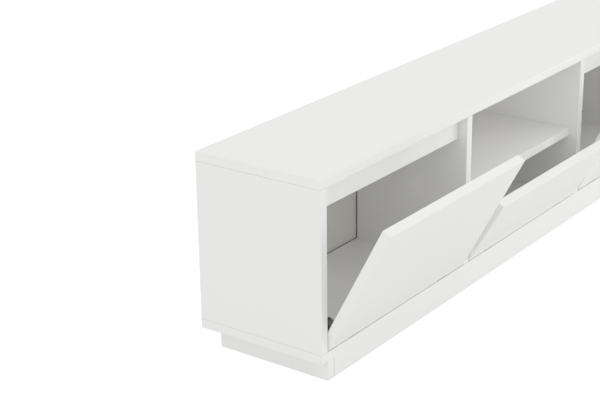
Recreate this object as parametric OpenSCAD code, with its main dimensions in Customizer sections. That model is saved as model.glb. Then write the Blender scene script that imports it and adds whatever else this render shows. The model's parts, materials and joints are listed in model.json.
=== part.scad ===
// Low television stand: a lacquered carcass of three equal bays on a plinth.
// Each bay is closed by a flap that drops forward on two hinges and is held by a folding stay.
// X runs along the width, the front faces -Y, +Z is up.
// The origin is on the floor, under the middle of the carcass.

/* [Carcass] */
// Overall width of the carcass
body_w = 1800; // [1500:50:2200]
// Depth of the carcass, front plane to back edge
body_d = 330; // [330:10:450]
// Overall height, floor to the upper face of the top
body_h = 465; // [465:5:560]
// Thickness of every lacquered board
board_t = 22; // [18:1:22]

/* [Plinth] */
// Height of the plinth, with its glides
plinth_h = 48; // [44:1:90]
// How far the plinth stands in from each end
plinth_end_inset = 23; // [0:1:80]
// How far the plinth stands in from the back
plinth_back_inset = 36; // [0:1:60]
// Thickness of the glides under the plinth
glide_t = 1.5; // [1:0.5:3]

/* [Back panels] */
// Thickness of a back panel
back_t = 8; // [6:1:8]
// Diameter of the cable port in each back panel
port_d = 60; // [30:5:70]

/* [Rails and shelf] */
// Height of the rail above each outer flap
rail_h = 56; // [50:1:70]
// Thickness of the rails
rail_t = 18; // [16:1:22]
// Distance from the front plane to the rails
rail_setback = 23.4; // [23.4:0.2:30]
// Height of the middle shelf's upper face above the bay floor
shelf_top = 185; // [160:1:200]
// Distance from the front plane to the shelf
shelf_setback = 24; // [24:1:40]

/* [Flaps] */
// Height of the two outer flaps
outer_flap_h = 333.5; // [330:0.5:340]
// Gap between a flap and the upright at each end
flap_end_gap = 2.5; // [2:0.5:4]
// How far the left flap stands open, in degrees from closed
left_open = 27.5; // [0:0.1:90]
// How far the middle flap stands open, in degrees from closed
middle_open = 29.4; // [0:0.1:90]
// How far the right flap stands open, in degrees from closed
right_open = 23.5; // [0:0.1:90]

/* [Hardware] */
// Distance from an upright to the centre of the nearest hinge
hinge_inset = 100; // [70:5:150]
// Diameter of the hinge cup let into the flap
cup_d = 35; // [26:1:35]
// Diameter of the stay's rivets
rivet_d = 6; // [5:0.5:7]

/* [Hidden] */
$fn = 48;

lacquer = [0.93, 0.93, 0.92];
backing = [0.88, 0.86, 0.82];
nickel = [0.36, 0.35, 0.33];
steel = [0.62, 0.62, 0.62];
beech = [0.76, 0.62, 0.45];
nylon = [0.85, 0.85, 0.83];

// Carcass
front_y = -body_d/2;
floor_z = plinth_h + board_t;
ceiling_z = body_h - board_t;
bay_h = ceiling_z - floor_z;
bay_w = (body_w - 4*board_t)/3;
bay_pitch = bay_w + board_t;
function bay_x(i) = -body_w/2 + board_t + i*bay_pitch;
function upright_x(i) = -body_w/2 + board_t/2 + i*bay_pitch;
clear = 0.1;

// Back panels sit at the rear of a wider groove, so a shadow gap shows before them.
groove_depth = 7;
groove_spare = 1;
shadow_gap = 4;
rear_lip = 8;
back_face_y = front_y + body_d - rear_lip - back_t;
port_centre_z = floor_z + 58;

// Shelf, and the studs that carry it
shelf_end_gap = 0.5;
shelf_z = floor_z + shelf_top - board_t;
stud_d = 5;
stud_in = 8;
stud_out = 9;
stud_places = [62, 276];

// Rails
rail_end_gap = 2;
rail_y = front_y + rail_setback;
rail_z = ceiling_z - rail_h;

// Fittings that join the uprights to the top and the bottom
cam_d = 15;
cam_depth = 13;
cam_from_end = 34;
cam_places = [60, 270];
cam_drive_w = 1.6;
cam_drive_l = 9;
cam_drive_depth = 1.5;
bolt_d = 7;
bolt_thread_d = 6;
bolt_thread_l = 11;
bolt_l = cam_from_end - cam_d/2 - 0.3;
dowel_d = 8;
dowel_in_panel = 12;
dowel_in_upright = 20;
dowel_spare = 0.5;
dowel_places = [100, 230];

// Plinth
plinth_x = body_w/2 - plinth_end_inset;
plinth_back_y = body_d/2 - plinth_back_inset;
plinth_board_h = plinth_h - glide_t;
cross_rail_places = [-bay_pitch/2, 0, bay_pitch/2];
glide_d = 18;
glide_places = [front_y + 45, 0, plinth_back_y - 30];
bracket_w = 20;
bracket_leg = 26;
bracket_t = 2;
bracket_hole = 15.6;
bracket_places = [-700, -150, 150, 700];
plinth_dowel_l = 36;

// Wood screws
screw_d = 3.5;
board_screw_l = 15;
flap_screw_l = 14;
screw_head_d = 7;
screw_head_h = 1.8;
slot_w = 0.8;
slot_l = 4;
slot_depth = 0.9;

// Hinges: the axis lies just behind and just above the front edge of the bay floor.
axis_back = 1.7;
axis_up = 2;
axis_y = front_y + axis_back;
axis_z = floor_z + axis_up;
flap_gap = 3.4;
pin_d = 2;
knuckle_d = 4;
knuckle_w = 12;
knuckle_gap = 0.3;
knuckle_room = 0.6;
hinge_w = 3*knuckle_w + 2*knuckle_gap;
leaf_t = 1.5;
tongue_end = 54;
wing_w = 56;
wing_start = 52;
wing_end = 98;
wing_t = 3;
arm_w = 14;
arm_start = 32;
arm_end = 96;
arm_t = 11;
arm_screw_d = 6.4;
arm_screw_h = 1.4;
arm_screw_places = [48, 80];
plate_screw_places = [-20, 20];
plate_screw_back = 75;
cup_rise = 22;
cup_depth = 11.5;
cup_recess = 2;
cup_wall = 2;
flange_w = 62;
flange_below = 13;
flange_above = 15;
cup_screw_places = [-24, 24];

// Stays: two equal and parallel pairs of sides, so the upper link keeps its direction.
stay_link_t = 2;
stay_eye_d = 14;
stay_bar_w = 10;
stay_gap = 0.5;
stay_reach = 72;
stay_rise = 10;
stay_flap_back = 30.3;
stay_flap_up = 60;
rivet_head_d = 10;
rivet_head_t = 1;
rivet_lap = 0.3;
rivet_head_clear = 0.2;
running_gap = 0.05;
open_pivot_gap = 0.3;
stay_plate_t = 2;
stay_plate_y = [42, 112];
stay_plate_z = [4, 26];
stay_wall_screw_places = [94, 106];
stop_d = 5;
stop_places = [49.7, 13.2];
ear_t = 2;
ear_w = 20;
foot_l = 26;
foot_screw_places = [9, 20];

// Flaps
flap_w = bay_w - 2*flap_end_gap;
middle_flap_h = shelf_top - flap_gap;
flap_h = [outer_flap_h, middle_flap_h, outer_flap_h];
flap_open = [left_open, middle_open, right_open];
bumper_d = 8;
bumper_inset = 60;
bumper_over_edge = 10;
bumper_clear = 0.2;

// ---- Helpers ----

// A board between two opposite corners
module board(low, high) {
    translate(low) cube(high - low);
}

// A cylinder along +X from x = 0
module rod_x(d, l) {
    rotate([0, 90, 0]) cylinder(d = d, h = l);
}

// A countersunk screw with its head's face at z = 0, going down
module screw(l) {
    difference() {
        union() {
            translate([0, 0, -screw_head_h])
                cylinder(d1 = screw_d, d2 = screw_head_d, h = screw_head_h);
            translate([0, 0, -l]) cylinder(d = screw_d, h = l - screw_head_h);
        }
        for (a = [0, 90])
            rotate([0, 0, a])
                translate([-slot_l/2, -slot_w/2, -slot_depth]) cube([slot_l, slot_w, 2*slot_depth]);
    }
}

// The hole that such a screw fills
module screw_hole(l) {
    translate([0, 0, -screw_head_h])
        cylinder(d1 = screw_d + 2*clear, d2 = screw_head_d + 2*clear, h = screw_head_h);
    translate([0, 0, -0.01]) cylinder(d = screw_head_d + 2*clear, h = 1);
    translate([0, 0, -l - clear]) cylinder(d = screw_d + 2*clear, h = l);
}

// Turns what stands on z = 0 so that it stands on the back of a flap
module on_flap_back(x, back, up) {
    translate([x, front_y + back, floor_z + up]) rotate([-90, 0, 0]) children();
}

// Turns what stands on z = 0 so that it stands on the left wall of bay i
module on_left_wall(i, back, up) {
    translate([bay_x(i), front_y + back, floor_z + up]) rotate([0, 90, 0]) children();
}

// Swings the closed flap of bay i, and all that it carries, to where it rests
module swung(i) {
    translate([0, axis_y, axis_z])
        rotate([flap_open[i], 0, 0])
            translate([0, -axis_y, -axis_z]) children();
}

// ---- Joints between the uprights and the long panels ----

// Both ends of upright i: side = 1 is the lower end, side = -1 the upper
module at_upright_ends(i, places) {
    for (p = places) {
        translate([upright_x(i), front_y + p, floor_z]) children();
        translate([upright_x(i), front_y + p, ceiling_z]) mirror([0, 0, 1]) children();
    }
}

// The cams lie in the right face of every upright but the last, whose left face has them
function cam_side(i) = i < 3 ? 1 : -1;

module cam_space(i, extra) {
    translate([cam_side(i)*board_t/2, 0, cam_from_end])
        rotate([0, -90*cam_side(i), 0])
            translate([0, 0, -extra]) cylinder(d = cam_d + 2*extra, h = cam_depth + 2*extra);
}

module upright_holes(i) {
    at_upright_ends(i, cam_places) {
        cam_space(i, clear);
        translate([0, 0, -1]) cylinder(d = bolt_d + 2*clear, h = cam_from_end + 1);
    }
    at_upright_ends(i, dowel_places)
        translate([0, 0, -1]) cylinder(d = dowel_d + 2*clear, h = dowel_in_upright + dowel_spare + 1);
}

module panel_holes() {
    for (i = [0:3]) {
        at_upright_ends(i, cam_places)
            translate([0, 0, -bolt_thread_l - clear])
                cylinder(d = bolt_thread_d + 2*clear, h = bolt_thread_l + 1);
        at_upright_ends(i, dowel_places)
            translate([0, 0, -dowel_in_panel - dowel_spare])
                cylinder(d = dowel_d + 2*clear, h = dowel_in_panel + dowel_spare + 1);
    }
}

// The grooves that hold the back panels, as one block around each bay
module back_grooves() {
    for (i = [0:2])
        board([bay_x(i) - groove_depth, back_face_y - shadow_gap, floor_z - groove_depth],
              [bay_x(i) + bay_w + groove_depth, back_face_y + back_t, ceiling_z + groove_depth]);
}

// ---- Carcass boards ----

module top_panel() {
    color(lacquer)
        difference() {
            board([-body_w/2, front_y, ceiling_z], [body_w/2, body_d/2, body_h]);
            back_grooves();
            panel_holes();
            rail_dowels(clear);
        }
}

module bottom_panel() {
    color(lacquer)
        difference() {
            board([-body_w/2, front_y, plinth_h], [body_w/2, body_d/2, floor_z]);
            back_grooves();
            panel_holes();
            at_hinges() at_plate_screws() screw_hole(board_screw_l);
            at_brackets() bracket_panel_screw() screw_hole(board_screw_l);
        }
}

module upright(i) {
    difference() {
        board([upright_x(i) - board_t/2, front_y, floor_z],
              [upright_x(i) + board_t/2, body_d/2, ceiling_z]);
        back_grooves();
        upright_holes(i);
        if (i < 3) at_wall_screws(i) screw_hole(board_screw_l);
        if (i == 1 || i == 2) stud_pins(clear);
    }
}

module side_panel_left() { color(lacquer) upright(0); }
module divider_left() { color(lacquer) upright(1); }
module divider_right() { color(lacquer) upright(2); }
module side_panel_right() { color(lacquer) upright(3); }

module back_panel(i) {
    reach = groove_depth - groove_spare;
    color(backing)
        difference() {
            board([bay_x(i) - reach, back_face_y, floor_z - reach],
                  [bay_x(i) + bay_w + reach, back_face_y + back_t, ceiling_z + reach]);
            translate([bay_x(i) + bay_w/2, back_face_y - 1, port_centre_z])
                rotate([-90, 0, 0]) cylinder(d = port_d, h = back_t + 2);
        }
}

module back_panel_left() { back_panel(0); }
module back_panel_middle() { back_panel(1); }
module back_panel_right() { back_panel(2); }

module rail(i) {
    color(lacquer)
        difference() {
            board([bay_x(i) + rail_end_gap, rail_y, rail_z],
                  [bay_x(i) + bay_w - rail_end_gap, rail_y + rail_t, ceiling_z]);
            rail_dowels(clear);
        }
}

module rail_left() { rail(0); }
module rail_right() { rail(2); }

module middle_shelf() {
    color(lacquer)
        board([bay_x(1) + shelf_end_gap, front_y + shelf_setback, shelf_z],
              [bay_x(1) + bay_w - shelf_end_gap, back_face_y - 1, shelf_z + board_t]);
}

module stud_pins(extra) {
    for (p = stud_places) {
        translate([bay_x(1) - stud_in - extra, front_y + p, shelf_z - stud_d/2])
            rod_x(stud_d + 2*extra, stud_in + stud_out + extra);
        translate([bay_x(1) + bay_w - stud_out, front_y + p, shelf_z - stud_d/2])
            rod_x(stud_d + 2*extra, stud_in + stud_out + extra);
    }
}

module shelf_studs() { color(steel) stud_pins(0); }

// ---- Plinth ----

module plinth_long_board(y) {
    board([-plinth_x + board_t, y, glide_t], [plinth_x - board_t, y + board_t, plinth_h]);
}

module plinth_front() {
    color(lacquer)
        difference() {
            plinth_long_board(front_y);
            plinth_dowels(clear);
            at_brackets() bracket_board_screw() screw_hole(board_screw_l);
        }
}

module plinth_back() {
    color(lacquer)
        difference() {
            plinth_long_board(plinth_back_y - board_t);
            plinth_dowels(clear);
            at_brackets() bracket_board_screw() screw_hole(board_screw_l);
        }
}

module plinth_end(side) {
    color(lacquer)
        difference() {
            board([side*(plinth_x - board_t/2) - board_t/2, front_y, glide_t],
                  [side*(plinth_x - board_t/2) + board_t/2, plinth_back_y, plinth_h]);
            plinth_dowels(clear);
        }
}

module plinth_end_left() { plinth_end(-1); }
module plinth_end_right() { plinth_end(1); }

module plinth_cross_rails() {
    color(lacquer)
        for (x = cross_rail_places)
            board([x - board_t/2, front_y + board_t, glide_t],
                  [x + board_t/2, plinth_back_y - board_t, plinth_h]);
}

module plinth_glides() {
    color(nylon)
        for (y = glide_places) {
            for (x = cross_rail_places) translate([x, y, 0]) cylinder(d = glide_d, h = glide_t);
            for (side = [-1, 1])
                translate([side*(plinth_x - board_t/2), y, 0]) cylinder(d = glide_d, h = glide_t);
        }
}

// Places one angle bracket at each spot, its legs towards +Y and +Z with the corner at 0
module at_brackets() {
    for (x = bracket_places) {
        translate([x, front_y + board_t, plinth_h]) children();
        translate([x, plinth_back_y - board_t, plinth_h]) mirror([0, 1, 0]) children();
    }
}

module bracket_board_screw() {
    translate([0, bracket_t, -bracket_hole]) rotate([-90, 0, 0]) children();
}

module bracket_panel_screw() {
    translate([0, bracket_hole, -bracket_t]) rotate([180, 0, 0]) children();
}

module plinth_brackets() {
    color(steel)
        at_brackets()
            difference() {
                union() {
                    translate([-bracket_w/2, 0, -bracket_t]) cube([bracket_w, bracket_leg, bracket_t]);
                    translate([-bracket_w/2, 0, -bracket_leg]) cube([bracket_w, bracket_t, bracket_leg]);
                }
                bracket_board_screw() screw_hole(board_screw_l);
                bracket_panel_screw() screw_hole(board_screw_l);
            }
}

module plinth_screws() {
    color(steel)
        at_brackets() {
            bracket_board_screw() screw(board_screw_l);
            bracket_panel_screw() screw(board_screw_l);
        }
}

// ---- Hidden joinery ----

module plinth_dowels(extra) {
    for (side = [-1, 1])
        for (y = [front_y + board_t/2, plinth_back_y - board_t/2])
            translate([side*(plinth_x - board_t) - plinth_dowel_l/2 - extra, y, plinth_h/2])
                rod_x(dowel_d + 2*extra, plinth_dowel_l + 2*extra);
}

module rail_dowels(extra) {
    for (i = [0, 2])
        for (k = [1, 2, 3])
            translate([bay_x(i) + k*bay_w/4, rail_y + rail_t/2, ceiling_z - dowel_in_upright - extra])
                cylinder(d = dowel_d + 2*extra, h = dowel_in_upright + dowel_in_panel + 2*extra);
}

module wood_dowels() {
    color(beech) {
        for (i = [0:3])
            at_upright_ends(i, dowel_places)
                translate([0, 0, -dowel_in_panel])
                    cylinder(d = dowel_d, h = dowel_in_panel + dowel_in_upright);
        plinth_dowels(0);
        rail_dowels(0);
    }
}

module cam_fittings() {
    color(steel)
        for (i = [0:3])
            at_upright_ends(i, cam_places)
                difference() {
                    cam_space(i, 0);
                    translate([cam_side(i)*board_t/2, 0, cam_from_end])
                        for (a = [0, 90])
                            rotate([a, 0, 0])
                                cube([2*cam_drive_depth, cam_drive_l, cam_drive_w], center = true);
                }
}

module cam_bolts() {
    color(steel)
        for (i = [0:3])
            at_upright_ends(i, cam_places) {
                translate([0, 0, -bolt_thread_l]) cylinder(d = bolt_thread_d, h = bolt_thread_l);
                cylinder(d = bolt_d, h = bolt_l);
            }
}

// ---- Hinges: the half on the bay floor ----

// Centre of each hinge in bay i, at the axis's place over the floor's front edge
module at_bay_hinges(i) {
    for (x = [bay_x(i) + hinge_inset, bay_x(i) + bay_w - hinge_inset])
        translate([x, front_y, floor_z]) children();
}

module at_hinges() {
    for (i = [0:2]) at_bay_hinges(i) children();
}

module at_plate_screws() {
    for (x = plate_screw_places) translate([x, plate_screw_back, wing_t]) children();
}

module hinge_plates() {
    inner = knuckle_w/2 + knuckle_gap;
    color(nickel)
        at_hinges()
            difference() {
                union() {
                    for (x = [-hinge_w/2, inner])
                        translate([x, axis_back, axis_up]) rod_x(knuckle_d, knuckle_w);
                    board([-hinge_w/2, axis_back, 0], [hinge_w/2, tongue_end, leaf_t]);
                    board([-wing_w/2, wing_start, 0], [wing_w/2, wing_end, wing_t]);
                }
                board([-inner, -1, -1], [inner, axis_back + knuckle_d/2 + knuckle_room, wing_t]);
                translate([-hinge_w/2 - 1, axis_back, axis_up]) rod_x(pin_d, hinge_w + 2);
                at_plate_screws() screw_hole(board_screw_l);
            }
}

module hinge_arms() {
    color(nickel)
        at_hinges()
            difference() {
                union() {
                    board([-arm_w/2, arm_start, leaf_t], [arm_w/2, wing_start, wing_t + arm_t]);
                    board([-arm_w/2, wing_start, wing_t], [arm_w/2, arm_end, wing_t + arm_t]);
                }
                translate([0, 0, wing_t + arm_t - arm_screw_h])
                    for (p = arm_screw_places)
                        translate([0, p, 0]) cylinder(d = arm_screw_d + 2*clear, h = 2*arm_screw_h);
            }
}

module hinge_arm_screws() {
    color(steel)
        at_hinges()
            for (p = arm_screw_places)
                translate([0, p, wing_t + arm_t - arm_screw_h])
                    difference() {
                        cylinder(d = arm_screw_d, h = arm_screw_h);
                        for (a = [45, 135])
                            rotate([0, 0, a])
                                translate([-slot_l/2, -slot_w/2, arm_screw_h - slot_depth])
                                    cube([slot_l, slot_w, 2*slot_depth]);
                    }
}

module hinge_plate_screws() {
    color(steel) at_hinges() at_plate_screws() screw(board_screw_l);
}

module hinge_pins() {
    color(steel)
        at_hinges() translate([-hinge_w/2, axis_back, axis_up]) rod_x(pin_d, hinge_w);
}

// ---- Hinges: the half on the flap ----

module at_cup_screws(i) {
    for (hx = [bay_x(i) + hinge_inset, bay_x(i) + bay_w - hinge_inset])
        for (x = cup_screw_places)
            on_flap_back(hx + x, board_t + leaf_t, flap_gap + cup_rise) children();
}

module hinge_cup(i) {
    color(nickel)
        swung(i)
            difference() {
                at_bay_hinges(i)
                    difference() {
                        union() {
                            translate([-knuckle_w/2, axis_back, axis_up]) rod_x(knuckle_d, knuckle_w);
                            board([-knuckle_w/2, axis_back, flap_gap - leaf_t],
                                  [knuckle_w/2, board_t + leaf_t, flap_gap]);
                            board([-knuckle_w/2, board_t, flap_gap],
                                  [knuckle_w/2, board_t + leaf_t, flap_gap + cup_rise]);
                            board([-flange_w/2, board_t, flap_gap + cup_rise - flange_below],
                                  [flange_w/2, board_t + leaf_t, flap_gap + cup_rise + flange_above]);
                            translate([0, board_t - cup_depth, flap_gap + cup_rise])
                                rotate([-90, 0, 0]) cylinder(d = cup_d, h = cup_depth + leaf_t);
                        }
                        translate([-knuckle_w, axis_back, axis_up])
                            rod_x(pin_d + 2*running_gap, 2*knuckle_w);
                        translate([0, board_t + leaf_t - cup_recess, flap_gap + cup_rise])
                            rotate([-90, 0, 0]) cylinder(d = cup_d - 2*cup_wall, h = 2*cup_recess);
                    }
                at_cup_screws(i) screw_hole(flap_screw_l);
            }
}

module hinge_cups_left() { hinge_cup(0); }
module hinge_cups_middle() { hinge_cup(1); }
module hinge_cups_right() { hinge_cup(2); }

module hinge_cup_screws(i) { color(steel) swung(i) at_cup_screws(i) screw(flap_screw_l); }

module hinge_cup_screws_left() { hinge_cup_screws(0); }
module hinge_cup_screws_middle() { hinge_cup_screws(1); }
module hinge_cup_screws_right() { hinge_cup_screws(2); }

// ---- Flaps ----

module flap(i) {
    color(lacquer)
        swung(i)
            difference() {
                translate([bay_x(i) + flap_end_gap, front_y, floor_z + flap_gap])
                    cube([flap_w, board_t, flap_h[i]]);
                at_bay_hinges(i) {
                    translate([-hinge_w/2 - 0.5, axis_back, axis_up])
                        rod_x(knuckle_d + 2*knuckle_room, hinge_w + 1);
                    translate([0, board_t - cup_depth - clear, flap_gap + cup_rise])
                        rotate([-90, 0, 0]) cylinder(d = cup_d + 2*clear, h = cup_depth + 1);
                }
                at_cup_screws(i) screw_hole(flap_screw_l);
                at_foot_screws(i) screw_hole(flap_screw_l);
            }
}

module flap_left() { flap(0); }
module flap_middle() { flap(1); }
module flap_right() { flap(2); }

// Two bumpers near the top of a flap's back. They meet the rail, or the shelf in the middle bay.
module flap_bumpers(i) {
    seat = i == 1 ? shelf_setback : rail_setback;
    up = i == 1 ? shelf_top - board_t/2 : rail_z - floor_z + bumper_over_edge;
    color(nylon)
        swung(i)
            for (x = [bay_x(i) + bumper_inset, bay_x(i) + bay_w - bumper_inset])
                on_flap_back(x, board_t, up) cylinder(d = bumper_d, h = seat - board_t - bumper_clear);
}

module flap_bumpers_left() { flap_bumpers(0); }
module flap_bumpers_middle() { flap_bumpers(1); }
module flap_bumpers_right() { flap_bumpers(2); }

// ---- Stays, on the left wall of each bay ----

// Layers out from the wall: plate, lower link, upper link, flap bracket's ear
lower_layer = stay_plate_t + stay_gap;
upper_layer = lower_layer + stay_link_t + stay_gap;
ear_layer = upper_layer + stay_link_t + stay_gap;
wall_pivot = [axis_back + stay_reach, axis_up + stay_rise];
flap_pivot = [axis_back + stay_flap_back, axis_up + stay_flap_up];
elbow_pivot = wall_pivot + [stay_flap_back, stay_flap_up];
// Where the elbow and the flap pivot come to once the flap is swung
function swing(v, a) = [v[0]*cos(a) - v[1]*sin(a), v[0]*sin(a) + v[1]*cos(a)];
function swung_arm(i) = swing([stay_flap_back, stay_flap_up], flap_open[i]);
function elbow_at(i) = wall_pivot + swung_arm(i);
function flap_pivot_at(i) = [axis_back, axis_up] + swung_arm(i);

// A rod along +X at a point of bay i's left wall, from depth a to depth b
module wall_rod(i, at, d, a, b) {
    translate([bay_x(i) + a, front_y + at[0], floor_z + at[1]]) rod_x(d, b - a);
}

// A flat link with round eyes at two points, in the layer that starts at depth a
module link(i, p, q, a) {
    reach = q - p;
    wall_rod(i, p, stay_eye_d, a, a + stay_link_t);
    wall_rod(i, q, stay_eye_d, a, a + stay_link_t);
    translate([bay_x(i) + a, front_y + p[0], floor_z + p[1]])
        rotate([atan2(reach[1], reach[0]), 0, 0])
            translate([0, 0, -stay_bar_w/2]) cube([stay_link_t, norm(reach), stay_bar_w]);
}

module at_wall_screws(i) {
    for (p = stay_wall_screw_places)
        on_left_wall(i, p, (stay_plate_z[0] + stay_plate_z[1])/2)
            translate([0, 0, stay_plate_t]) children();
}

module stay_wall_brackets() {
    color(nickel)
        for (i = [0:2]) {
            difference() {
                board([bay_x(i), front_y + stay_plate_y[0], floor_z + stay_plate_z[0]],
                      [bay_x(i) + stay_plate_t, front_y + stay_plate_y[1], floor_z + stay_plate_z[1]]);
                at_wall_screws(i) screw_hole(board_screw_l);
            }
            wall_rod(i, wall_pivot, rivet_d, stay_plate_t, upper_layer);
            wall_rod(i, wall_pivot, rivet_head_d, upper_layer - rivet_lap, upper_layer + rivet_head_t);
            wall_rod(i, stop_places, stop_d, stay_plate_t, upper_layer - rivet_lap);
        }
}

module stay_wall_screws() {
    color(steel) for (i = [0:2]) at_wall_screws(i) screw(board_screw_l);
}

module stay_lower_link(i) {
    elbow = elbow_at(i);
    color(nickel) {
        difference() {
            link(i, wall_pivot, elbow, lower_layer);
            wall_rod(i, wall_pivot, rivet_d + 2*running_gap, 0, ear_layer);
        }
        wall_rod(i, elbow, rivet_d, lower_layer + stay_link_t/2, ear_layer);
        wall_rod(i, elbow, rivet_head_d, ear_layer - rivet_lap, ear_layer + rivet_head_t);
    }
}

module stay_lower_link_left() { stay_lower_link(0); }
module stay_lower_link_middle() { stay_lower_link(1); }
module stay_lower_link_right() { stay_lower_link(2); }

module stay_upper_link(i) {
    color(nickel)
        difference() {
            link(i, flap_pivot_at(i), elbow_at(i), upper_layer);
            wall_rod(i, elbow_at(i), rivet_d + 2*running_gap, 0, ear_layer + 1);
            wall_rod(i, flap_pivot_at(i), rivet_d + 2*open_pivot_gap, 0, ear_layer + 1);
        }
}

module stay_upper_link_left() { stay_upper_link(0); }
module stay_upper_link_middle() { stay_upper_link(1); }
module stay_upper_link_right() { stay_upper_link(2); }

module at_foot_screws(i) {
    for (x = foot_screw_places)
        on_flap_back(bay_x(i) + ear_layer + ear_t + x, board_t + ear_t, flap_pivot[1]) children();
}

module stay_flap_bracket(i) {
    ear_x = bay_x(i) + ear_layer;
    back = [front_y + board_t, front_y + flap_pivot[0]];
    side = [floor_z + flap_pivot[1] - ear_w/2, floor_z + flap_pivot[1] + ear_w/2];
    color(nickel)
        swung(i) {
            difference() {
                union() {
                    board([ear_x, back[0], side[0]], [ear_x + ear_t, back[1], side[1]]);
                    wall_rod(i, flap_pivot, ear_w, ear_layer, ear_layer + ear_t);
                    board([ear_x, back[0], side[0]],
                          [ear_x + ear_t + foot_l, back[0] + ear_t, side[1]]);
                }
                at_foot_screws(i) screw_hole(flap_screw_l);
            }
            wall_rod(i, flap_pivot, rivet_d, upper_layer - rivet_lap, ear_layer);
            wall_rod(i, flap_pivot, rivet_head_d, upper_layer - rivet_lap - rivet_head_t,
                     upper_layer - rivet_head_clear);
        }
}

module stay_flap_bracket_left() { stay_flap_bracket(0); }
module stay_flap_bracket_middle() { stay_flap_bracket(1); }
module stay_flap_bracket_right() { stay_flap_bracket(2); }

module stay_flap_screws(i) { color(steel) swung(i) at_foot_screws(i) screw(flap_screw_l); }

module stay_flap_screws_left() { stay_flap_screws(0); }
module stay_flap_screws_middle() { stay_flap_screws(1); }
module stay_flap_screws_right() { stay_flap_screws(2); }

top_panel();
bottom_panel();
side_panel_left();
side_panel_right();
divider_left();
divider_right();
back_panel_left();
back_panel_middle();
back_panel_right();
rail_left();
rail_right();
middle_shelf();
shelf_studs();
plinth_front();
plinth_back();
plinth_end_left();
plinth_end_right();
plinth_cross_rails();
plinth_glides();
plinth_brackets();
plinth_screws();
cam_fittings();
cam_bolts();
wood_dowels();
hinge_plates();
hinge_arms();
hinge_arm_screws();
hinge_plate_screws();
hinge_pins();
stay_wall_brackets();
stay_wall_screws();
flap_left();
hinge_cups_left();
hinge_cup_screws_left();
stay_flap_bracket_left();
stay_flap_screws_left();
flap_bumpers_left();
stay_lower_link_left();
stay_upper_link_left();
flap_middle();
hinge_cups_middle();
hinge_cup_screws_middle();
stay_flap_bracket_middle();
stay_flap_screws_middle();
flap_bumpers_middle();
stay_lower_link_middle();
stay_upper_link_middle();
flap_right();
hinge_cups_right();
hinge_cup_screws_right();
stay_flap_bracket_right();
stay_flap_screws_right();
flap_bumpers_right();
stay_lower_link_right();
stay_upper_link_right();
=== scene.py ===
"""The looks of a low, white-lacquered television stand with drop-down flaps."""

import json
import math

import bpy
from mathutils import Matrix, Vector


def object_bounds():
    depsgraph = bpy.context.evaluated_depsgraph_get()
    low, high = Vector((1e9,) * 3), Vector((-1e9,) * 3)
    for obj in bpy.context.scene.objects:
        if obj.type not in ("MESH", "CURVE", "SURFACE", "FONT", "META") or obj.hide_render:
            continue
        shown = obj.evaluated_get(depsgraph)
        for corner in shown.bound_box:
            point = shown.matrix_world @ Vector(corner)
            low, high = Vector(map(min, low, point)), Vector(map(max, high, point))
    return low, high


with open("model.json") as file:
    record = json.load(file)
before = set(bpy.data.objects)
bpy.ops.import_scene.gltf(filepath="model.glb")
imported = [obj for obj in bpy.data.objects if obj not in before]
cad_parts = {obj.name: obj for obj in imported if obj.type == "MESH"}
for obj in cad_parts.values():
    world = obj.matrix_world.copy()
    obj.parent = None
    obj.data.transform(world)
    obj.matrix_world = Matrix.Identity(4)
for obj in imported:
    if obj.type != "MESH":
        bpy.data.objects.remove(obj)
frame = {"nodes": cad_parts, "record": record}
CAD_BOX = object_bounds()
NODES = frame["nodes"]

# Edge rounding and surface detail, in metres
BOARD_EDGE = 0.0009
FITTING_EDGE = 0.00025
WELD = 0.00001
SHARP = math.radians(32)
# The shortest straight run that is rounded, on a board and on a fitting
BOARD_RUN = 0.010
FITTING_RUN = 0.003
STRAIGHT = 0.99999
PLACES = 6

# The camera: its place in the frame, and its heading from +Y towards +X, dip and roll in degrees
CAMERA_PLACE = Vector((-3.182, -1.794, 1.485))
CAMERA_HEADING = 53.63
CAMERA_DIP = 20.73
CAMERA_ROLL = -0.79
CAMERA_LENS = 88.67

# The lacquer's white, and the slightly greyer white of its faint clouds
WHITE = (0.905, 0.905, 0.888)
CLOUD = (0.893, 0.893, 0.875)

# Painted shade in the grooves: two dark browns like bare board, and how rough it is
GROOVE_SHADE_DARK = (0.15, 0.12, 0.085)
GROOVE_SHADE_LIGHT = (0.23, 0.185, 0.13)
GROOVE_SHADE_ROUGHNESS = 0.8

# The block of space that the back panels' grooves take up, as a middle and a reach on each axis
GROOVES_X = (0.0, 0.889)
GROOVES_Y = (0.1511, 0.0059)
GROOVES_Z = (0.2565, 0.2)

# The bays inside that block: their height, again as a middle and a reach, width and spacing
BAY_Z = (0.2565, 0.1864)
BAY_W = 0.57067
BAY_PITCH = 0.59267

# The joint lines: heights of the uprights' ends, half width and colour
JOINT_HEIGHTS = (0.070, 0.443)
JOINT_REACH = 0.0004
JOINT_GREY = (0.36, 0.35, 0.32)

# The joint at the plinth's corners: distance from the middle and half width; and the plinth's top
PLINTH_JOINT = (0.855, 0.0008)
PLINTH_TOP = 0.048

# The part of a face's normal along an axis, where the face looks mostly or squarely that way
MOSTLY = 0.5
SQUARELY = 0.9

# The studio floor: tone and glow to the eye, and the tone that lights the stand
FLOOR_SEEN = 0.96
FLOOR_GLOW = 0.5
FLOOR_BOUNCE = 0.80
FLOOR_HALF = 30.0

# Softboxes: place, side in metres, and power in watts
SOFTBOXES = {
    "right": ((2.8, -3.5, 1.3), 1.8, 47.0),
    "left": ((-5.0, -0.4, 1.4), 2.5, 13.0),
}
SURROUNDINGS = 0.775
# Lifts the middle tones, as a catalogue picture does
SOFT_TONES = 1.6


# ---- Node helpers ----


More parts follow.
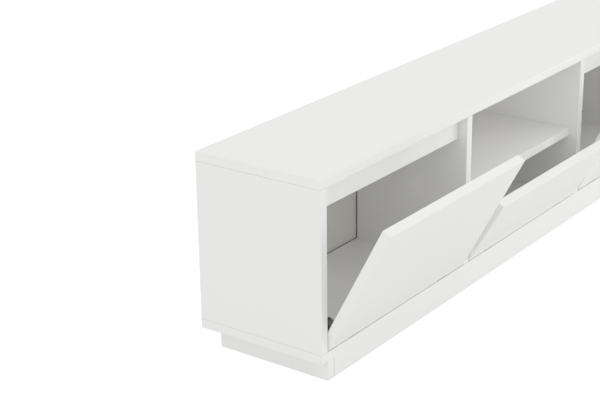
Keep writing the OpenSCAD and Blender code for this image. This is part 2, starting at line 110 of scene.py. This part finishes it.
class Shader:
    """A material under construction: short calls that add nodes and link them."""

    def __init__(self, name):
        self.material = bpy.data.materials.new(name)
        self.material.use_nodes = True
        self.tree = self.material.node_tree
        self.surface = self.tree.nodes["Principled BSDF"]
        coordinates = self.add("ShaderNodeTexCoord")
        self.place = coordinates.outputs["Object"]
        self.facing = coordinates.outputs["Normal"]

    def add(self, kind, **settings):
        node = self.tree.nodes.new(kind)
        for key, value in settings.items():
            setattr(node, key, value)
        return node

    def link(self, source, target):
        self.tree.links.new(source, target)

    def fixed(self, **sockets):
        """Sets constant values straight on the surface's own sockets."""
        for name, value in sockets.items():
            self.surface.inputs[name.replace("_", " ")].default_value = value

    def axes(self, vector):
        """The three parts of a vector."""
        node = self.add("ShaderNodeSeparateXYZ")
        self.link(vector, node.inputs["Vector"])
        return node.outputs[0], node.outputs[1], node.outputs[2]

    def stretched(self, scale):
        """The object's coordinates, scaled along each axis."""
        node = self.add("ShaderNodeMapping")
        node.inputs["Scale"].default_value = scale
        self.link(self.place, node.inputs["Vector"])
        return node.outputs["Vector"]

    def noise(self, scale, detail=3.0, roughness=0.5, along=None):
        node = self.add("ShaderNodeTexNoise")
        node.inputs["Scale"].default_value = scale
        node.inputs["Detail"].default_value = detail
        node.inputs["Roughness"].default_value = roughness
        self.link(along or self.place, node.inputs["Vector"])
        return node.outputs["Fac"]

    def ramp(self, factor, *stops):
        """Colours at positions, as (position, colour) pairs."""
        node = self.add("ShaderNodeValToRGB")
        elements = node.color_ramp.elements
        while len(elements) < len(stops):
            elements.new(0.5)
        for element, (position, colour) in zip(elements, stops):
            element.position = position
            element.color = (*colour, 1.0)
        self.link(factor, node.inputs["Fac"])
        return node.outputs["Color"]

    def remap(self, value, low, high):
        node = self.add("ShaderNodeMapRange")
        node.inputs["To Min"].default_value = low
        node.inputs["To Max"].default_value = high
        self.link(value, node.inputs["Value"])
        return node.outputs["Result"]

    def maths(self, operation, *values):
        """A sum, product or comparison of values; each is a constant or another node's output."""
        node = self.add("ShaderNodeMath", operation=operation)
        for socket, value in zip(node.inputs, values):
            if isinstance(value, (int, float)):
                socket.default_value = value
            else:
                self.link(value, socket)
        return node.outputs[0]

    def mix(self, factor, a, b):
        """Colour a where factor is 0 and b where it is 1; either may be a constant."""
        node = self.add("ShaderNodeMix", data_type="RGBA")
        self.link(factor, node.inputs["Factor"])
        for socket, value in ((node.inputs[6], a), (node.inputs[7], b)):
            if isinstance(value, tuple):
                socket.default_value = (*value, 1.0)
            else:
                self.link(value, socket)
        return node.outputs[2]

    def bump(self, height, strength, distance):
        node = self.add("ShaderNodeBump")
        node.inputs["Strength"].default_value = strength
        node.inputs["Distance"].default_value = distance
        self.link(height, node.inputs["Height"])
        self.link(node.outputs["Normal"], self.surface.inputs["Normal"])

    def colour(self, source):
        self.link(source, self.surface.inputs["Base Color"])

    def roughness(self, source):
        self.link(source, self.surface.inputs["Roughness"])


# ---- Materials ----


def painted_groove_shade(s):
    """Painted shade for the grooves: a dark brown like bare fibreboard, which darkens their shadow
    lines.
    """
    return s.ramp(s.noise(420.0, 3.0), (0.3, GROOVE_SHADE_DARK), (0.7, GROOVE_SHADE_LIGHT))


def groove_shade_mask(s):
    """1 on the faces of the grooves that hold the back panels, where shade is painted, and 0
    elsewhere.
    """
    x, y, z = s.axes(s.place)
    block = s.maths("COMPARE", x, *GROOVES_X)
    block = s.maths("MULTIPLY", block, s.maths("COMPARE", y, *GROOVES_Y))
    block = s.maths("MULTIPLY", block, s.maths("COMPARE", z, *GROOVES_Z))
    facing_x = s.maths("ABSOLUTE", s.axes(s.facing)[0])
    beyond_bay = s.maths("SUBTRACT", 1.0, s.maths("COMPARE", z, *BAY_Z))
    groove_face = s.maths("MAXIMUM", s.maths("GREATER_THAN", facing_x, MOSTLY), beyond_bay)
    return s.maths("MULTIPLY", block, groove_face)


def in_joints(s):
    """1 on the hairlines where boards meet: at the uprights' ends and the plinth's corners."""
    x, _, z = s.axes(s.place)
    facing_x, _, facing_z = (s.maths("ABSOLUTE", part) for part in s.axes(s.facing))
    lines = [s.maths("COMPARE", z, height, JOINT_REACH) for height in JOINT_HEIGHTS]
    level = s.maths("MULTIPLY", s.maths("LESS_THAN", facing_z, SQUARELY), s.maths("MAXIMUM", *lines))
    corner = s.maths("COMPARE", s.maths("ABSOLUTE", x), *PLINTH_JOINT)
    corner = s.maths("MULTIPLY", corner, s.maths("LESS_THAN", facing_x, SQUARELY))
    corner = s.maths("MULTIPLY", corner, s.maths("LESS_THAN", z, PLINTH_TOP))
    return s.maths("MAXIMUM", level, corner)


def white_lacquer():
    """Sprayed gloss lacquer: faint clouds in the colour and sheen, and a shallow orange peel.

    The grooves for the back panels get painted shade, a dark brown like bare fibreboard, and
    the joints between the boards are thin grey lines.
    """
    s = Shader("white_lacquer")
    # painted shade: the groove faces turn a dark brown like bare board
    groove_shade = groove_shade_mask(s)
    lacquer = s.ramp(s.noise(2.3, 4.0), (0.3, CLOUD), (0.7, WHITE))
    s.colour(s.mix(in_joints(s), s.mix(groove_shade, lacquer, painted_groove_shade(s)), JOINT_GREY))
    gloss = s.remap(s.noise(11.0, 4.0, 0.6), 0.06, 0.12)
    s.roughness(s.maths("MAXIMUM", gloss, s.maths("MULTIPLY", groove_shade, GROOVE_SHADE_ROUGHNESS)))
    s.bump(s.noise(160.0, 2.0), 0.02, 0.0004)
    s.fixed(IOR=1.7)
    return s.material


def back_board():
    """Thin backing board with a satin foil, a little warmer than the lacquer.

    Its margins, which lie in the grooves, get painted shade in a dark brown like bare board.
    """
    s = Shader("back_board")
    x, _, z = s.axes(s.place)
    past_side = s.maths("GREATER_THAN", s.maths("PINGPONG", x, BAY_PITCH / 2), BAY_W / 2)
    past_end = s.maths("SUBTRACT", 1.0, s.maths("COMPARE", z, *BAY_Z))
    grain = s.noise(90.0, 4.0, 0.6, s.stretched((1.0, 1.0, 0.2)))
    foil = s.ramp(grain, (0.3, (0.85, 0.815, 0.76)), (0.7, (0.87, 0.835, 0.78)))
    # painted shade: the margins in the grooves turn a dark brown like bare board
    s.colour(s.mix(s.maths("MAXIMUM", past_side, past_end), foil, painted_groove_shade(s)))
    s.roughness(s.remap(grain, 0.30, 0.42))
    s.bump(s.noise(520.0, 2.0), 0.05, 0.0002)
    return s.material


def plated_steel(name, dark, light, low, high):
    """Plated steel with drawn brush lines and soft blotches in its plating."""
    s = Shader(name)
    lines = s.noise(900.0, 2.0, 0.6, s.stretched((0.06, 1.0, 1.0)))
    blotch = s.noise(60.0, 4.0)
    s.colour(s.mix(blotch, dark, light))
    s.roughness(s.remap(lines, low, high))
    s.bump(lines, 0.12, 0.0001)
    s.fixed(Metallic=1.0)
    return s.material


def beech():
    """Raw beech with short flecks along the dowel."""
    s = Shader("beech")
    grain = s.noise(140.0, 6.0, 0.65, s.stretched((1.0, 1.0, 0.12)))
    fleck = s.noise(700.0, 2.0, 0.5, s.stretched((1.0, 1.0, 0.2)))
    tone = s.ramp(grain, (0.35, (0.50, 0.34, 0.19)), (0.65, (0.66, 0.49, 0.31)))
    s.colour(s.mix(fleck, tone, (0.58, 0.40, 0.24)))
    s.roughness(s.remap(grain, 0.55, 0.72))
    s.bump(grain, 0.25, 0.0003)
    return s.material


def nylon():
    """Moulded nylon, faintly mottled."""
    s = Shader("nylon")
    mottle = s.noise(180.0, 3.0)
    s.colour(s.ramp(mottle, (0.3, (0.70, 0.70, 0.67)), (0.7, (0.76, 0.76, 0.74))))
    s.roughness(s.remap(mottle, 0.45, 0.6))
    s.bump(s.noise(900.0, 2.0), 0.08, 0.0002)
    return s.material


def bumper_rubber():
    """Milky soft polymer, a little translucent at its surface."""
    s = Shader("bumper_rubber")
    haze = s.noise(240.0, 2.0)
    s.colour(s.ramp(haze, (0.3, (0.60, 0.60, 0.58)), (0.7, (0.68, 0.68, 0.66))))
    s.roughness(s.remap(haze, 0.3, 0.45))
    s.bump(haze, 0.05, 0.0002)
    s.fixed(Transmission_Weight=0.25)
    return s.material


MATERIALS = {
    "white_lacquer": white_lacquer(),
    "back_board": back_board(),
    "dark_nickel": plated_steel("dark_nickel", (0.115, 0.105, 0.09), (0.17, 0.16, 0.14), 0.3, 0.46),
    "zinc_steel": plated_steel("zinc_steel", (0.46, 0.46, 0.45), (0.60, 0.60, 0.58), 0.24, 0.38),
    "beech": beech(),
    "nylon": nylon(),
    "bumper_rubber": bumper_rubber(),
}


def sharp_segments(mesh):
    """The mesh's sharp edges, as {edge number: (start, end)}, with the points' values rounded."""
    points = [tuple(round(value, PLACES) for value in vertex.co) for vertex in mesh.vertices]
    normals = {}
    for face in mesh.polygons:
        for pair in face.edge_keys:
            line = frozenset(points[end] for end in pair)
            normals.setdefault(line, []).append(face.normal)
    found = {}
    for edge in mesh.edges:
        start, end = (points[number] for number in edge.vertices)
        sides = normals.get(frozenset((start, end)), ())
        if start != end and any(sides[0].angle(side, 0.0) > SHARP for side in sides[1:]):
            found[edge.index] = (start, end)
    return found


def mark_edges(mesh, shortest):
    """Weights the sharp edges that lie in a straight run of at least the given length.

    The other sharp edges are not rounded, and are shaded as crisp corners.
    """
    segments = sharp_segments(mesh)
    lines = {frozenset(ends) for ends in segments.values()}
    touching = {}
    for line in lines:
        for point in line:
            touching.setdefault(point, []).append(line)
    for name, kind in (("bevel_weight_edge", "FLOAT"), ("sharp_edge", "BOOLEAN")):
        if name not in mesh.attributes:
            mesh.attributes.new(name, kind, "EDGE")
    weights = mesh.attributes["bevel_weight_edge"]
    crisp = mesh.attributes["sharp_edge"]
    run_of = {}
    for line in lines:
        if line in run_of:
            continue
        start, end = (Vector(point) for point in line)
        along = (end - start).normalized()
        run, waiting = set(), [line]
        while waiting:
            current = waiting.pop()
            if current in run:
                continue
            run.add(current)
            for point in current:
                for other in touching[point]:
                    a, b = (Vector(place) for place in other)
                    if abs((b - a).normalized().dot(along)) > STRAIGHT:
                        waiting.append(other)
        length = sum((Vector(a) - Vector(b)).length for a, b in run)
        run_of.update((member, length) for member in run)
    for number, ends in segments.items():
        rounded = run_of[frozenset(ends)] >= shortest
        weights.data[number].value = float(rounded)
        crisp.data[number].value = not rounded


def dress_nodes():
    """Gives every CAD node its material and rounds its long edges."""
    for part in frame["record"]["subparts"]:
        piece = NODES[part["node"]]
        slot = part["material_slot"]
        piece.data.materials.clear()
        piece.data.materials.append(MATERIALS[slot])
        weld = piece.modifiers.new("weld", "WELD")
        weld.merge_threshold = WELD
        edge = piece.modifiers.new("edge", "BEVEL")
        board = slot in ("white_lacquer", "back_board")
        mark_edges(piece.data, BOARD_RUN if board else FITTING_RUN)
        edge.width = BOARD_EDGE if board else FITTING_EDGE
        edge.segments = 3 if board else 2
        edge.limit_method = "WEIGHT"
        edge.use_clamp_overlap = False
        shading = piece.modifiers.new("shading", "WEIGHTED_NORMAL")
        shading.keep_sharp = True


# ---- Stage, light and camera ----


def floor(name, tone, glow):
    """A pale studio floor, much wider than the stand."""
    half = FLOOR_HALF
    mesh = bpy.data.meshes.new(name)
    corners = [(-half, -half, 0), (half, -half, 0), (half, half, 0), (-half, half, 0)]
    mesh.from_pydata(corners, [], [(0, 1, 2, 3)])
    ground = bpy.data.objects.new(name, mesh)
    bpy.context.scene.collection.objects.link(ground)
    s = Shader(name)
    s.colour(s.ramp(s.noise(0.8), (0.3, (0.99 * tone,) * 3), (0.7, (tone,) * 3)))
    s.fixed(Roughness=0.9, Specular_IOR_Level=0.1, Emission_Strength=glow)
    s.surface.inputs["Emission Color"].default_value = (1, 1, 1, 1)
    mesh.materials.append(s.material)
    return ground


def floors():
    """One floor is what the eye sees, nearly white; the other, greyer, lights the stand."""
    seen = floor("studio_floor", FLOOR_SEEN, FLOOR_GLOW)
    seen.visible_diffuse = seen.visible_glossy = seen.visible_transmission = False
    seen.visible_shadow = False
    bounce = floor("studio_bounce", FLOOR_BOUNCE, 0.0)
    bounce.visible_camera = False


def studio_light():
    """Even white surroundings and broad softboxes."""
    world = bpy.data.worlds.new("studio")
    bpy.context.scene.world = world
    world.use_nodes = True
    world.node_tree.nodes["Background"].inputs["Color"].default_value = (1, 1, 1, 1)
    world.node_tree.nodes["Background"].inputs["Strength"].default_value = SURROUNDINGS
    for name, (place, size, power) in SOFTBOXES.items():
        softbox(name, Vector(place), size, power)


def softbox(name, place, size, power):
    """A lamp that the gloss doesn't mirror, because its white square would bleach the top."""
    data = bpy.data.lights.new(name, "AREA")
    data.shape = "SQUARE"
    data.size = size
    data.energy = power
    lamp = bpy.data.objects.new(name, data)
    low, high = CAD_BOX
    middle = (Vector(low) + Vector(high)) / 2
    lamp.location = place
    lamp.rotation_euler = (middle - place).to_track_quat("-Z", "Y").to_euler()
    lamp.visible_glossy = False
    bpy.context.scene.collection.objects.link(lamp)


def camera():
    data = bpy.data.cameras.new("camera")
    data.lens = CAMERA_LENS
    eye = bpy.data.objects.new("camera", data)
    bpy.context.scene.collection.objects.link(eye)
    eye.matrix_world = (
        Matrix.Translation(CAMERA_PLACE)
        @ Matrix.Rotation(math.radians(-CAMERA_HEADING), 4, "Z")
        @ Matrix.Rotation(math.radians(90 - CAMERA_DIP), 4, "X")
        @ Matrix.Rotation(math.radians(CAMERA_ROLL), 4, "Z")
    )
    bpy.context.scene.camera = eye


camera()
dress_nodes()
floors()
studio_light()
view = bpy.context.scene.view_settings
view.view_transform = "Standard"
view.gamma = SOFT_TONES
